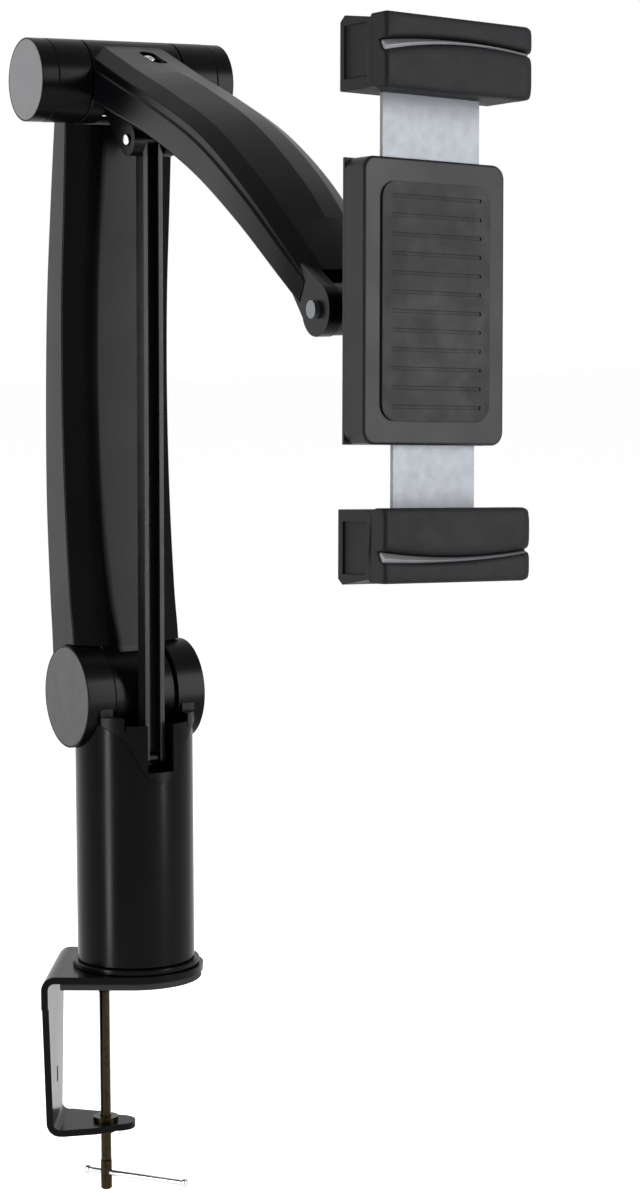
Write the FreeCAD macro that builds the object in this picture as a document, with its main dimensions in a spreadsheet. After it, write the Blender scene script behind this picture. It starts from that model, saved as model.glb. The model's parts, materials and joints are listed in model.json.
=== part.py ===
import FreeCAD, Part
import math
import os
import Sketcher

os.makedirs("parts", exist_ok=True)
doc = FreeCAD.newDocument("clamp_tablet_mount")
V = FreeCAD.Vector
Rot = FreeCAD.Rotation

driving = {
    "pole_r": 30.0,
    "pole_wall": 2.5,
    "pole_bottom": 10.6,
    "pole_top": 134.0,
    "hinge_y": 10.0,
    "low_hinge_z": 146.0,
    "high_hinge_y": 6.0,
    "arm_span": 310.0,
    "low_barrel_r": 26.0,
    "low_barrel_half": 31.0,
    "cap_deep": 2.0,
    "knuckle_r": 24.0,
    "knuckle_half": 16.9,
    "fork_half": 17.9,
    "high_barrel_r": 20.7,
    "eye_inner": 25.5,
    "eye_outer": 44.0,
    "arm_half": 30.0,
    "arm_wall": 3.0,
    "bevel_drop": 5.0,
    "bevel_from": 16.0,
    "hinge_bolt_r": 6.0,
    "running_gap": 0.05,
    "face_gap": 0.3,
    "link_y": -20.0,
    "link_low_z": 116.0,
    "link_half": 5.4,
    "link_depth": 8.0,
    "link_wall": 2.4,
    "link_pin_r": 2.5,
    "yoke_hub_r": 16.5,
    "yoke_half": 16.0,
    "lug_half": 12.0,
    "upper_half": 25.0,
    "upper_span": 253.5,
    "upper_drop": 26.4,
    "clamp_turn": -32.0,
    "plate_r": 34.5,
    "strap_t": 3.5,
    "pad_t": 3.5,
    "leg_x": 45.0,
    "tongue_z": 76.0,
    "tongue_tip": -1.3,
    "screw_x": -16.7,
    "screw_r": 2.9,
    "screw_low": 112.5,
    "bar_z": 103.7,
    "bar_r": 1.5,
    "bar_len": 60.0,
    "bar_turn": -23.7,
    "head_tilt": -2.6,
    "head_turn": 6.4,
    "head_roll": -2.2,
    "tilt_bolt_r": 4.0,
    "swivel_pin_r": 5.0,
    "roll_bolt_r": 3.0,
    "swivel_y": -24.0,
    "disc_front": -46.3,
    "house_half": 38.0,
    "house_tall": 60.0,
    "house_front": -61.3,
    "house_back": -48.1,
    "cover_back": -46.6,
    "jaw_half": 40.0,
    "jaw_low": 87.0,
    "jaw_top": 117.4,
    "jaw_front": -78.8,
    "jaw_rear": -46.8,
    "tablet_front": -70.8,
    "rod_r": 2.5,
    "rod_x": 31.0,
    "rod_y": -53.0,
}

sheet = doc.addObject("Spreadsheet::Sheet", "sizes")
for row, (alias, number) in enumerate(driving.items(), start=1):
    sheet.set("A%d" % row, alias.replace("_", " "))
    sheet.set("B%d" % row, repr(number))
    sheet.setAlias("B%d" % row, alias)
doc.recompute()


class Size:
    # a number together with the sheet expression that gives it
    def __init__(self, number, text):
        self.number = float(number)
        self.text = text

    def __add__(self, other):
        other = size(other)
        return Size(self.number + other.number, "(%s + %s)" % (self.text, other.text))

    def __radd__(self, other):
        return size(other) + self

    def __sub__(self, other):
        other = size(other)
        return Size(self.number - other.number, "(%s - %s)" % (self.text, other.text))

    def __rsub__(self, other):
        return size(other) - self

    def __mul__(self, other):
        other = size(other)
        return Size(self.number * other.number, "(%s * %s)" % (self.text, other.text))

    def __rmul__(self, other):
        return size(other) * self

    def __truediv__(self, other):
        other = size(other)
        return Size(self.number / other.number, "(%s / %s)" % (self.text, other.text))

    def __neg__(self):
        return Size(-self.number, "(0 - %s)" % self.text)


def size(value):
    if isinstance(value, Size):
        return value
    return Size(value, "(%s)" % repr(float(value)))


S = {}
for alias in driving:
    S[alias] = Size(driving[alias], "sizes.%s" % alias)


def set_size(obj, prop, value):
    value = size(value)
    setattr(obj, prop, value.number)
    obj.setExpression(prop, value.text)


def set_base(obj, x, y, z, rotation=None):
    spot = [size(x), size(y), size(z)]
    base = V(spot[0].number, spot[1].number, spot[2].number)
    obj.Placement = FreeCAD.Placement(base, rotation or Rot())
    for axis, value in zip("xyz", spot):
        obj.setExpression("Placement.Base." + axis, value.text)


ALONG = {"x": Rot(V(0, 1, 0), 90), "y": Rot(V(1, 0, 0), -90), "z": Rot()}


def rod(axis, x, y, z, radius, length):
    obj = doc.addObject("Part::Cylinder", "rod")
    set_size(obj, "Radius", radius)
    set_size(obj, "Height", length)
    set_base(obj, x, y, z, ALONG[axis])
    return obj


def rod_mid(axis, x, y, z, radius, half):
    half = size(half)
    spot = {"x": size(x), "y": size(y), "z": size(z)}
    spot[axis] = spot[axis] - half
    return rod(axis, spot["x"], spot["y"], spot["z"], radius, half * 2)


def block(x0, x1, y0, y1, z0, z1):
    obj = doc.addObject("Part::Box", "block")
    set_size(obj, "Length", size(x1) - x0)
    set_size(obj, "Width", size(y1) - y0)
    set_size(obj, "Height", size(z1) - z0)
    set_base(obj, x0, y0, z0)
    return obj


def join(pieces, label="join"):
    if len(pieces) == 1:
        return pieces[0]
    obj = doc.addObject("Part::MultiFuse", label)
    obj.Label = label
    obj.Shapes = pieces
    return obj


def meet(pieces, label="meet"):
    obj = doc.addObject("Part::MultiCommon", label)
    obj.Label = label
    obj.Shapes = pieces
    return obj


def cut(base, tools, label="cut"):
    obj = doc.addObject("Part::Cut", label)
    obj.Label = label
    obj.Base = base
    obj.Tool = join(tools)
    return obj


def new_body(label):
    body = doc.addObject("PartDesign::Body", label)
    body.Label = label
    return body


def sketch(body, role, offset=0):
    plane = [f for f in body.Origin.OriginFeatures if f.Role == role][0]
    sk = body.newObject("Sketcher::SketchObject", body.Label + "_sketch")
    sk.AttachmentSupport = (plane, "")
    sk.MapMode = "FlatFace"
    offset = size(offset)
    sk.AttachmentOffset = FreeCAD.Placement(V(0, 0, offset.number), Rot())
    sk.setExpression("AttachmentOffset.Base.z", offset.text)
    return sk


def bind(sk, kind, *args):
    value = size(args[-1])
    number = sk.addConstraint(Sketcher.Constraint(kind, *args[:-1], value.number))
    sk.setExpression("Constraints[%d]" % number, value.text)


def polygon(sk, corners):
    corners = [(size(a), size(b)) for a, b in corners]
    first = sk.GeometryCount
    count = len(corners)
    for i in range(count):
        a = corners[i]
        b = corners[(i + 1) % count]
        start = V(a[0].number, a[1].number, 0)
        sk.addGeometry(Part.LineSegment(start, V(b[0].number, b[1].number, 0)))
    for i in range(count):
        after = first + (i + 1) % count
        sk.addConstraint(Sketcher.Constraint("Coincident", first + i, 2, after, 1))
    for i in range(count):
        bind(sk, "DistanceX", -1, 1, first + i, 1, corners[i][0])
        bind(sk, "DistanceY", -1, 1, first + i, 1, corners[i][1])


def circle(sk, a, b, radius):
    a = size(a)
    b = size(b)
    radius = size(radius)
    ring = Part.Circle(V(a.number, b.number, 0), V(0, 0, 1), radius.number)
    number = sk.addGeometry(ring)
    bind(sk, "DistanceX", -1, 1, number, 3, a)
    bind(sk, "DistanceY", -1, 1, number, 3, b)
    bind(sk, "Radius", number, radius)


def feature(body, kind, sk):
    obj = body.newObject("PartDesign::" + kind, body.Label + "_" + kind.lower())
    obj.Profile = sk
    sk.Visibility = False
    return obj


def pad(body, sk, length, side="Symmetric", back=False):
    obj = feature(body, "Pad", sk)
    set_size(obj, "Length", length)
    obj.SideType = side
    obj.Reversed = back
    doc.recompute()
    return obj


def pocket(body, sk, length, side="Symmetric", back=False):
    before = body.Shape.Volume
    obj = feature(body, "Pocket", sk)
    set_size(obj, "Length", length)
    obj.SideType = side
    obj.Reversed = back
    doc.recompute()
    if body.Shape.Volume > before - 1e-6:
        raise RuntimeError("pocket of %s cuts nothing" % body.Label)
    return obj


def loft(body, sketches, kind="AdditiveLoft"):
    obj = body.newObject("PartDesign::" + kind, body.Label + "_loft")
    obj.Profile = sketches[0]
    obj.Sections = sketches[1:]
    doc.recompute()
    return obj


def spin(body, sk, axis="V_Axis", kind="Revolution"):
    obj = feature(body, kind, sk)
    obj.ReferenceAxis = (sk, [axis])
    obj.Angle = 360.0
    doc.recompute()
    return obj


def fillet(body, radius, wanted):
    base = body.Tip
    names = []
    for i, edge in enumerate(base.Shape.Edges, start=1):
        if wanted(edge):
            names.append("Edge%d" % i)
    if not names:
        raise RuntimeError("fillet of %s finds no edge" % body.Label)
    obj = body.newObject("PartDesign::Fillet", body.Label + "_fillet")
    obj.Base = (base, names)
    set_size(obj, "Radius", radius)
    doc.recompute()
    return obj


def middle(edge):
    first, last = edge.ParameterRange
    return edge.valueAt((first + last) / 2)


def near(value, target, within=0.2):
    return abs(value - target) < within


nodes = {}


def keep(obj, label, place=None):
    obj.Label = label
    if place is not None:
        obj.Placement = place
    nodes[label] = obj


low_y = S["hinge_y"]
high_y = S["high_hinge_y"]
low_z = S["low_hinge_z"]
high_z = low_z + S["arm_span"]
bore_r = S["hinge_bolt_r"] + S["running_gap"]

clamp_place = FreeCAD.Placement(V(0, 0, 0), Rot(V(0, 0, 1), driving["clamp_turn"]))


def keep_clamp(obj, label):
    keep(obj, label, clamp_place)
    obj.setExpression("Placement.Rotation.Angle", "sizes.clamp_turn")


# clamp bracket: one strap bent twice, then trimmed to its outline
strap_top = S["pad_t"] + S["strap_t"]
leg_in = S["strap_t"] - S["leg_x"]
strap = new_body("strap")
sk = sketch(strap, "XZ_Plane")
polygon(sk, [
    (-S["leg_x"], strap_top),
    (S["plate_r"], strap_top),
    (S["plate_r"], S["pad_t"]),
    (leg_in, S["pad_t"]),
    (leg_in, -S["tongue_z"]),
    (S["tongue_tip"], -S["tongue_z"]),
    (S["tongue_tip"], -S["tongue_z"] - S["strap_t"]),
    (-S["leg_x"], -S["tongue_z"] - S["strap_t"]),
])
pad(strap, sk, S["plate_r"] * 2)
outer = driving["leg_x"]
inner = outer - driving["strap_t"]


def is_bend(edge, x, z):
    spot = middle(edge)
    return near(spot.x, x) and near(spot.z, z) and edge.Length > 30


roof = strap_top.number
ledge = -driving["tongue_z"]
thick = driving["strap_t"]
fillet(strap, thick * 2, lambda e: is_bend(e, -outer, roof) or is_bend(e, -outer, ledge - thick))
fillet(strap, thick, lambda e: is_bend(e, -inner, roof - thick) or is_bend(e, -inner, ledge))
sk = sketch(strap, "YZ_Plane", -60)
polygon(sk, [(-2, -56), (2, -56), (2, -48), (-2, -48)])
pocket(strap, sk, 40, "One side", True)
top_outline = new_body("top_outline")
sk = sketch(top_outline, "XY_Plane", 0)
circle(sk, 0, 0, S["plate_r"])
pad(top_outline, sk, 20)
sk = sketch(top_outline, "XY_Plane", 0)
polygon(sk, [(-50, -S["plate_r"]), (0, -S["plate_r"]), (0, S["plate_r"]), (-50, S["plate_r"])])
pad(top_outline, sk, 20)
leg_outline = new_body("leg_outline")
sk = sketch(leg_outline, "YZ_Plane", -50)
polygon(sk, [(-34.5, 0), (-32.5, -6), (-20, -72), (-20, -90), (20, -90), (20, -72), (32.5, -6), (34.5, 0)])
pad(leg_outline, sk, 15, "One side")
tongue_outline = new_body("tongue_outline")
sk = sketch(tongue_outline, "XY_Plane", -90)
polygon(sk, [(-50, -20), (-36, -20), (-20, -15.5), (-10.3, -9), (-10.3, 9), (-20, 15.5), (-36, 20), (-50, 20)])
pad(tongue_outline, sk, 20, "One side")
sk = sketch(tongue_outline, "XY_Plane", -90)
circle(sk, S["tongue_tip"] - 9, 0, 9)
pad(tongue_outline, sk, 20, "One side")
bracket = meet([strap, join([top_outline, leg_outline, tongue_outline])])
bracket = cut(bracket, [
    rod("z", 0, 0, 0, 4.2, 20),
    rod("z", S["screw_x"], 0, -90, 5.0, 20),
], "clamp_bracket")
keep_clamp(bracket, "clamp_bracket")

# base pad under the plate, with a hole for the bolt head
rubber = join([rod("z", 0, 0, 0, S["plate_r"] - 1, S["pad_t"]),
               block(-35.5, 0, 1 - S["plate_r"], S["plate_r"] - 1, 0, S["pad_t"])])
rubber = cut(rubber, [rod("z", 0, 0, -1, 8.0, 6), rod("z", 0, 0, -1, 8.0, 7)], "base_pad")
keep_clamp(rubber, "base_pad")

# threaded bush set in the tongue
bush = new_body("thread_bush")
sk = sketch(bush, "XZ_Plane")
inner_r = S["screw_r"] + S["running_gap"]
polygon(sk, [(inner_r, -82), (5, -82), (5, -S["tongue_z"]), (6.5, -S["tongue_z"]), (6.5, -73.8), (inner_r, -73.8)])
spin(bush, sk)
keep_clamp(bush, "thread_bush")
bush_place = clamp_place.multiply(FreeCAD.Placement(V(driving["screw_x"], 0, 0), Rot()))
bush.Placement = bush_place
bush.setExpression("Placement.Base.x", "sizes.screw_x * cos(sizes.clamp_turn)")
bush.setExpression("Placement.Base.y", "sizes.screw_x * sin(sizes.clamp_turn)")


def keep_screw(obj, label):
    keep(obj, label, bush_place)
    obj.setExpression("Placement.Rotation.Angle", "sizes.clamp_turn")
    obj.setExpression("Placement.Base.x", "sizes.screw_x * cos(sizes.clamp_turn)")
    obj.setExpression("Placement.Base.y", "sizes.screw_x * sin(sizes.clamp_turn)")


# clamp screw: turned profile with a ball end in the pressure pad, cross hole at the foot
stem = new_body("screw_stem")
sk = sketch(stem, "XZ_Plane")
polygon(sk, [
    (0, -S["screw_low"]),
    (S["screw_r"] - 0.8, -S["screw_low"]),
    (S["screw_r"], 0.8 - S["screw_low"]),
    (S["screw_r"], -6.5),
    (1.8, -5.8),
    (1.8, -4.6),
    (2.6, -3.9),
    (2.6, -2.6),
    (0, -2.6),
])
spin(stem, sk)
cross = rod_mid("x", 0, 0, -S["bar_z"], S["bar_r"] + S["running_gap"], 10)
cross.Placement = FreeCAD.Placement(V(0, 0, 0), Rot(V(0, 0, 1), driving["bar_turn"])).multiply(cross.Placement)
cross.setExpression("Placement.Base.x", None)
cross.setExpression("Placement.Base.y", None)
keep_screw(cut(stem, [cross], "clamp_screw"), "clamp_screw")

# pressure pad: steel cup round the ball end, with a soft facing
cup = new_body("pressure_pad")
sk = sketch(cup, "XZ_Plane")
gap = S["face_gap"]
polygon(sk, [
    (1.8 + S["running_gap"], -5.4),
    (6.5, -5.4),
    (10, -3.9),
    (10, -1.5),
    (2.6 + S["running_gap"], -1.5),
    (2.6 + S["running_gap"], -4.0),
    (1.8 + S["running_gap"], -4.75),
])
spin(cup, sk)
keep_screw(cup, "pressure_pad")
keep_screw(rod("z", 0, 0, -1.5, 9.6, 1.2), "pressure_pad_facing")

# tommy bar with upset ends, standing off centre in its hole
bar = new_body("tommy_bar")
sk = sketch(bar, "XZ_Plane")
bar_left = -12.5
bar_right = S["bar_len"] - 12.5
polygon(sk, [
    (bar_left, 0),
    (bar_left, 1.6),
    (bar_left + 0.6, 2.2),
    (bar_left + 2.4, 2.2),
    (bar_left + 3, S["bar_r"]),
    (bar_right - 3, S["bar_r"]),
    (bar_right - 2.4, 2.2),
    (bar_right - 0.6, 2.2),
    (bar_right, 1.6),
    (bar_right, 0),
])
spin(bar, sk, "H_Axis")
bar_place = bush_place.multiply(
    FreeCAD.Placement(V(0, 0, -driving["bar_z"]), Rot(V(0, 0, 1), driving["bar_turn"])))
keep(bar, "tommy_bar", bar_place)

# foot of the column
flange_z = strap_top + 3
keep(cut(rod("z", 0, 0, strap_top, 32.5, 3), [rod("z", 0, 0, 0, 4.2, 20)], "foot_flange"), "foot_flange")
keep(cut(rod("z", 0, 0, flange_z, 14, 1.5), [rod("z", 0, 0, 0, 4.2, 20)], "swivel_washer"), "swivel_washer")
bolt = new_body("base_bolt")
sk = sketch(bolt, "XZ_Plane")
polygon(sk, [(0, 0.9), (6.2, 0.9), (7.4, 2.0), (7.4, 3.5), (4, 3.5), (4, 31), (0, 31)])
spin(bolt, sk)
keep(bolt, "base_bolt")
nut = new_body("base_nut")
sk = sketch(nut, "XY_Plane", 22.3)
polygon(sk, [(7.5 * math.cos(math.radians(60 * i)), 7.5 * math.sin(math.radians(60 * i))) for i in range(6)])
pad(nut, sk, 6.5, "One side")
sk = sketch(nut, "XY_Plane", 22.3)
circle(sk, 0, 0, 4.0)
pocket(nut, sk, 6.5, "One side", True)
keep(nut, "base_nut")
plug = cut(rod("z", 0, 0, 11.5, S["pole_r"] - S["pole_wall"] - 0.08, 10.5),
           [rod("z", 0, 0, 0, 4.0 + S["running_gap"], 30)], "column_base_plug")
keep(plug, "column_base_plug")

# pointed bib outline shared by the column tube and the moulded head
bib_half = [(7, 107.5), (11, 113), (14.5, 121), (19.5, 128.5), (26.5, 134)]
bib_outline = [(-x, z) for x, z in reversed(bib_half)]
bib_outline = bib_outline + [(0, 104)] + bib_half + [(26.5, 142), (-26.5, 142)]


def bib_prism(label):
    body = new_body(label)
    sk = sketch(body, "XZ_Plane", 12)
    polygon(sk, bib_outline)
    pad(body, sk, 30, "One side")
    return body


tube_len = S["pole_top"] - S["pole_bottom"]
inside_r = S["pole_r"] - S["pole_wall"]
tube = cut(rod("z", 0, 0, S["pole_bottom"], S["pole_r"], tube_len), [
    rod("z", 0, 0, 0, inside_r, 200),
    rod_mid("x", 0, low_y, low_z, S["low_barrel_r"] + gap, 40),
    bib_prism("bib_notch"),
], "column_tube")
keep(tube, "column_tube")

# moulded head: barrel cheeks, plug in the tube, bib in the notch, slots for knuckle and link
plug_r = inside_r - 0.08
shield = meet([
    cut(rod("z", 0, 0, 96, S["pole_r"] + 1.2, 50), [rod("z", 0, 0, 90, plug_r - 2, 60)]),
    bib_prism("bib_shape"),
])
barrel = new_body("head_barrel")
sk = sketch(barrel, "YZ_Plane")
circle(sk, low_y, low_z, S["low_barrel_r"])
rim = S["low_barrel_half"] + S["cap_deep"]
pad(barrel, sk, rim * 2)
fillet(barrel, 0.5, lambda e: near(abs(middle(e).x), rim.number))
head = join([
    rod("z", 0, 0, 96, plug_r, 42),
    shield,
    barrel,
])
seat_x = S["low_barrel_half"] - 8
knuckle_slot = rod_mid("x", 0, low_y, low_z, S["knuckle_r"] + 0.4, S["fork_half"])
fork = S["fork_half"]
link_slot_half = S["link_half"] + 1.8
head = cut(head, [
    knuckle_slot,
    block(-fork, fork, -26, 45, 131, 185),
    block(-fork, fork, -45, -26, 134, 185),
    block(-40, 40, -45, -16.2, 138, 185),
    block(-link_slot_half, link_slot_half, -45, -8, S["link_low_z"] - 6, 185),
    rod_mid("x", 0, low_y, low_z, bore_r, 40),
    rod("x", -S["low_barrel_half"] - 9, low_y, low_z, 11, 17),
    rod("x", seat_x, low_y, low_z, 11, 17),
    rod("x", -S["low_barrel_half"] - 9, low_y, low_z, S["low_barrel_r"] - 0.6, 9),
    rod("x", S["low_barrel_half"], low_y, low_z, S["low_barrel_r"] - 0.6, 9),
    rod_mid("x", 0, S["link_y"], S["link_low_z"], S["link_pin_r"], 12),
    rod("z", 0, 0, 90, 22, 18),
], "column_head")
keep(head, "column_head")

bolt = new_body("lower_hinge_bolt")
sk = sketch(bolt, "XZ_Plane", -low_y)
edge_x = S["low_barrel_half"] - 0.4
polygon(sk, [
    (-edge_x, low_z),
    (-edge_x, low_z + 9),
    (-seat_x, low_z + 9),
    (-seat_x, low_z + S["hinge_bolt_r"]),
    (edge_x, low_z + S["hinge_bolt_r"]),
    (edge_x, low_z),
])
obj = feature(bolt, "Revolution", sk)
edge_line = sk.addGeometry(Part.LineSegment(V(-60, 146, 0), V(60, 146, 0)), True)
bind(sk, "DistanceX", -1, 1, edge_line, 1, -60)
bind(sk, "DistanceY", -1, 1, edge_line, 1, low_z)
bind(sk, "DistanceX", -1, 1, edge_line, 2, 60)
bind(sk, "DistanceY", -1, 1, edge_line, 2, low_z)
obj.ReferenceAxis = (sk, ["Axis0"])
obj.Angle = 360.0
doc.recompute()
keep(bolt, "lower_hinge_bolt")
nut = new_body("lower_hinge_nut")
sk = sketch(nut, "YZ_Plane", seat_x)
hexagon = [math.radians(60 * i) for i in range(6)]
polygon(sk, [(low_y + 10 * math.cos(t), low_z + 10 * math.sin(t)) for t in hexagon])
pad(nut, sk, 7, "One side")
sk = sketch(nut, "YZ_Plane", seat_x)
circle(sk, low_y, low_z, bore_r)
pocket(nut, sk, 7, "One side", True)
keep(nut, "lower_hinge_nut")
for side, start in (("left", -fork), ("right", S["knuckle_half"])):
    washer = cut(rod("x", start, low_y, low_z, 22, fork - S["knuckle_half"]),
                 [rod_mid("x", 0, low_y, low_z, bore_r, 40)], "lower_washer_" + side)
    keep(washer, "lower_washer_" + side)


def disc_cap(label, y, z, radius, face, thick, sign):
    # a coin-shaped cap, slightly crowned, turned about the hinge axis
    body = new_body(label)
    sk = sketch(body, "YZ_Plane", 0)
    circle(sk, y, z, radius)
    sk.AttachmentOffset = FreeCAD.Placement(V(0, 0, 0), Rot())
    offset = size(sign * face) if sign > 0 else -size(face) - thick
    sk.setExpression("AttachmentOffset.Base.z", size(offset).text)
    pad(body, sk, thick, "One side")
    out = size(face).number + size(thick).number
    fillet(body, 0.4, lambda e: near(abs(middle(e).x), out))
    keep(body, label)


for side, sign in (("left", -1), ("right", 1)):
    disc_cap("lower_cap_" + side, low_y, low_z, S["low_barrel_r"] - 0.7, S["low_barrel_half"], S["cap_deep"], sign)

keep(rod_mid("x", 0, S["link_y"], S["link_low_z"], S["link_pin_r"], 12), "link_pin_lower")

# lower arm: bowed beam lofted through bevelled sections, hollow behind, knuckle below, eyes above
arm = new_body("lower_arm_shell")
bow = [
    (0.0516, 6.2, 32.6),
    (0.0968, 7.4, 33.4),
    (0.1613, 10.8, 35.3),
    (0.3194, 15.3, 38.1),
    (0.4871, 17.2, 37.5),
    (0.6516, 16.2, 34.6),
    (0.8129, 12.2, 28.6),
    (0.9484, 9.0, 22.6),
]


def bow_at(share):
    for (s0, f0, b0), (s1, f1, b1) in zip(bow, bow[1:]):
        if s0 <= share <= s1:
            t = (share - s0) / (s1 - s0)
            return f0 + t * (f1 - f0), b0 + t * (b1 - b0)
    raise RuntimeError("share outside the arm")


def up_arm(share):
    return low_z + S["arm_span"] * share


half = S["arm_half"]
drop = S["bevel_drop"]
flat = S["bevel_from"]
sections = []
for share, front, back in bow:
    sk = sketch(arm, "XY_Plane", up_arm(share))
    polygon(sk, [
        (-half, back),
        (-half, front),
        (-flat, front - drop),
        (flat, front - drop),
        (half, front),
        (half, back),
    ])
    sections.append(sk)
loft(arm, sections)
wall = S["arm_wall"]
sections = []
inner_shares = [row[0] for row in bow[2:-1]]
for share in [0.129] + inner_shares + [0.8581]:
    front, back = bow_at(share)
    sk = sketch(arm, "XY_Plane", up_arm(share))
    polygon(sk, [
        (wall - half, back + 4),
        (wall - half, front + wall),
        (-flat, front - drop + wall),
        (flat, front - drop + wall),
        (half - wall, front + wall),
        (half - wall, back + 4),
    ])
    sections.append(sk)
loft(arm, sections, "SubtractiveLoft")
sk = sketch(arm, "YZ_Plane")
circle(sk, low_y, low_z, S["low_barrel_r"] + 0.7)
pocket(arm, sk, 80)
lean = math.radians(48)
along = (-math.cos(lean), -math.sin(lean))
under = (math.sin(lean), -math.cos(lean))


def wedge(d, off):
    return (high_y + d * along[0] + off * under[0], high_z + d * along[1] + off * under[1])


sk = sketch(arm, "YZ_Plane")
polygon(sk, [wedge(-2, 14), wedge(60, 14), wedge(60, -30), wedge(-2, -30)])
pocket(arm, sk, S["eye_inner"] * 2)
sk = sketch(arm, "YZ_Plane")
circle(sk, high_y, high_z, S["high_barrel_r"] + 0.6)
pocket(arm, sk, S["eye_inner"] * 2)
sk = sketch(arm, "YZ_Plane")
circle(sk, low_y, low_z, S["knuckle_r"])
pad(arm, sk, S["knuckle_half"] * 2)
sk = sketch(arm, "YZ_Plane")
polygon(sk, [(-3, low_z + 8), (28, low_z + 8), (30, low_z + 32), (4, low_z + 32)])
pad(arm, sk, S["knuckle_half"] * 2)
eye_len = S["eye_outer"] - S["eye_inner"]
sk = sketch(arm, "YZ_Plane", S["eye_inner"])
circle(sk, high_y, high_z, S["high_barrel_r"])
pad(arm, sk, eye_len, "One side")
sk = sketch(arm, "YZ_Plane", -S["eye_outer"])
circle(sk, high_y, high_z, S["high_barrel_r"])
pad(arm, sk, eye_len, "One side")
sk = sketch(arm, "YZ_Plane")
circle(sk, high_y, high_z, S["hinge_bolt_r"])
pocket(arm, sk, 100)
sk = sketch(arm, "YZ_Plane")
circle(sk, low_y, low_z, bore_r)
pocket(arm, sk, 100)
keep(arm, "lower_arm_shell")

cover = new_body("lower_arm_cover")
sections = []
for share in [0.1303] + inner_shares + [0.8568]:
    front, back = bow_at(share)
    inset = wall + 0.25
    sk = sketch(cover, "XY_Plane", up_arm(share))
    polygon(sk, [
        (inset - half, back),
        (inset - half, back - 2.4),
        (half - inset, back - 2.4),
        (half - inset, back),
    ])
    sections.append(sk)
loft(cover, sections)
keep(cover, "lower_arm_cover")

# tie link: pressed channel with rounded ends, open to the front
link = new_body("tie_link")
link_high_z = S["link_low_z"] + S["arm_span"]
link_high_y = S["link_y"] + high_y - low_y
half_deep = S["link_depth"] / 2
sk = sketch(link, "YZ_Plane")
polygon(sk, [
    (S["link_y"] - half_deep, S["link_low_z"]),
    (S["link_y"] + half_deep, S["link_low_z"]),
    (link_high_y + half_deep, link_high_z),
    (link_high_y - half_deep, link_high_z),
])
pad(link, sk, S["link_half"] * 2)
ends = ((S["link_y"], S["link_low_z"]), (link_high_y, link_high_z))
for y, z in ends:
    sk = sketch(link, "YZ_Plane")
    circle(sk, y, z, half_deep)
    pad(link, sk, S["link_half"] * 2)
floor_y = half_deep - S["link_wall"]
sk = sketch(link, "YZ_Plane")
polygon(sk, [
    (S["link_y"] - 9, S["link_low_z"] - 9),
    (S["link_y"] + floor_y, S["link_low_z"] - 9),
    (link_high_y + floor_y, link_high_z + 9),
    (link_high_y - 9, link_high_z + 9),
])
pocket(link, sk, (S["link_half"] - S["link_wall"]) * 2)
for y, z in ends:
    sk = sketch(link, "YZ_Plane")
    circle(sk, y, z, S["link_pin_r"] + S["running_gap"])
    pocket(link, sk, 40)
keep(link, "tie_link")

# elbow yoke: hub between the upper arm cheeks, lug forward and down to the link
yoke = new_body("elbow_yoke")
sk = sketch(yoke, "YZ_Plane")
circle(sk, high_y, high_z, S["yoke_hub_r"])
pad(yoke, sk, S["yoke_half"] * 2)
reach_y = driving["link_y"] - driving["hinge_y"]
reach_z = driving["link_low_z"] - driving["low_hinge_z"]
reach = math.hypot(reach_y, reach_z)
side_y = -reach_z / reach * 8
side_z = reach_y / reach * 8
sk = sketch(yoke, "YZ_Plane")
polygon(sk, [
    (high_y + side_y, high_z + side_z),
    (link_high_y + side_y, link_high_z + side_z),
    (link_high_y - side_y, link_high_z - side_z),
    (high_y - side_y, high_z - side_z),
])
pad(yoke, sk, S["lug_half"] * 2)
sk = sketch(yoke, "YZ_Plane")
circle(sk, link_high_y, link_high_z, 8)
pad(yoke, sk, S["lug_half"] * 2)
sk = sketch(yoke, "YZ_Plane")
circle(sk, link_high_y, link_high_z, 14)
pocket(yoke, sk, (S["link_half"] + 0.5) * 2)
sk = sketch(yoke, "YZ_Plane")
circle(sk, link_high_y, link_high_z, S["link_pin_r"])
pocket(yoke, sk, 40)
sk = sketch(yoke, "YZ_Plane")
circle(sk, high_y, high_z, bore_r)
pocket(yoke, sk, 40)
keep(yoke, "elbow_yoke")
keep(rod_mid("x", 0, link_high_y, link_high_z, S["link_pin_r"], S["lug_half"]), "link_pin_upper")

# elbow bolt, knobs and their discs
keep(rod_mid("x", 0, high_y, high_z, S["hinge_bolt_r"], S["eye_outer"] + 4.3), "elbow_bolt")
knob_outer = S["eye_outer"] + 9
knob_face = knob_outer - 1.5
for side, sign in (("left", -1), ("right", 1)):
    knob = new_body("elbow_knob_" + side)
    near_x = S["eye_outer"] if sign > 0 else -knob_outer
    sk = sketch(knob, "YZ_Plane", near_x)
    circle(sk, high_y, high_z, S["high_barrel_r"] - 0.1)
    pad(knob, sk, 9, "One side")
    fillet(knob, 0.4, lambda e: e.Length > 50)
    sk = sketch(knob, "YZ_Plane", sign * S["eye_outer"])
    circle(sk, high_y, high_z, bore_r)
    pocket(knob, sk, 4.5, "One side", sign > 0)
    sk = sketch(knob, "YZ_Plane", sign * knob_outer)
    circle(sk, high_y, high_z, S["high_barrel_r"] - 0.7)
    pocket(knob, sk, 1.5, "One side", sign < 0)
    keep(knob, "elbow_knob_" + side)
    disc_cap("elbow_cap_" + side, high_y, high_z, S["high_barrel_r"] - 0.8, knob_face, 1.5, sign)

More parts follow.
